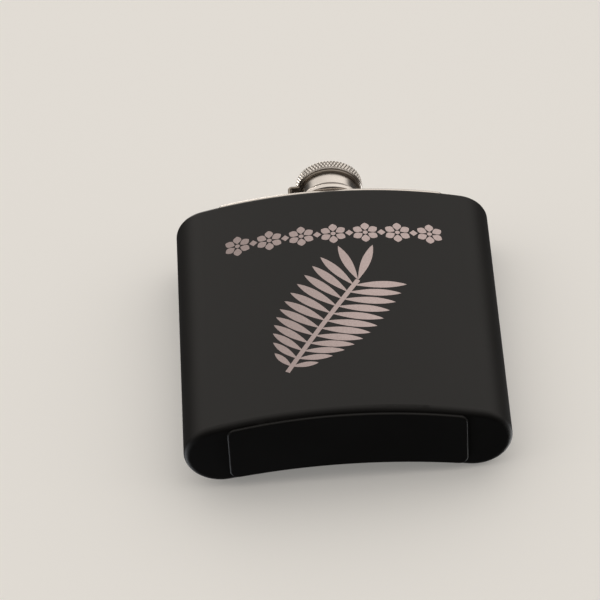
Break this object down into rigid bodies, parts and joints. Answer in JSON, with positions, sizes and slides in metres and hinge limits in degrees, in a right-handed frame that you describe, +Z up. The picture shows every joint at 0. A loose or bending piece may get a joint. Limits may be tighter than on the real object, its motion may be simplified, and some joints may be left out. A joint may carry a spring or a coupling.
{
  "type": "hip flask",
  "caption": "Curved hip flask with a hollow body, a threaded neck and a knurled screw cap held on a hinged arm.",
  "frame": {"origin": "on the flat the flask stands on, under the neck axis", "axes": "+Z up along the neck, -Y out of the convex front face, +X to the right seen from the front"},
  "size_m": [0.095, 0.0268, 0.1076],
  "materials": {
    "powder_coat": "matte black powder coat on stainless steel",
    "steel": "bare stainless steel, turned and polished",
    "seal_rubber": "translucent white silicone"
  },
  "bodies": {
    "body": {"body_shell": "powder_coat", "top_plate": "powder_coat", "bottom_plate": "powder_coat", "neck": "steel", "hinge_bracket": "steel", "hinge_pin": "steel"},
    "arm": {"captive_arm": "steel"},
    "seal": {"gasket": "seal_rubber"},
    "cap": {"cap_sleeve": "steel", "cap_head": "steel"}
  },
  "joints": [
    {"name": "arm_swing", "type": "hinge", "parent": "body", "child": "arm", "pos_m": [-0.0137, 0, 0.098], "axis": [0, -1, 0], "range_deg": [0, 110]},
    {"name": "cap_lift", "type": "slide", "parent": "arm", "child": "seal", "axis": [0, 0, 1], "range_m": [0, 0.0044]},
    {"name": "cap_spin", "type": "hinge", "parent": "seal", "child": "cap", "pos_m": [0, 0, 0.1], "axis": [0, 0, 1], "range_deg": [0, 660]}
  ],
  "couplings": [
    {"joint": "cap_lift", "follows": "cap_spin", "m_per_rad": 0.00038197}
  ]
}
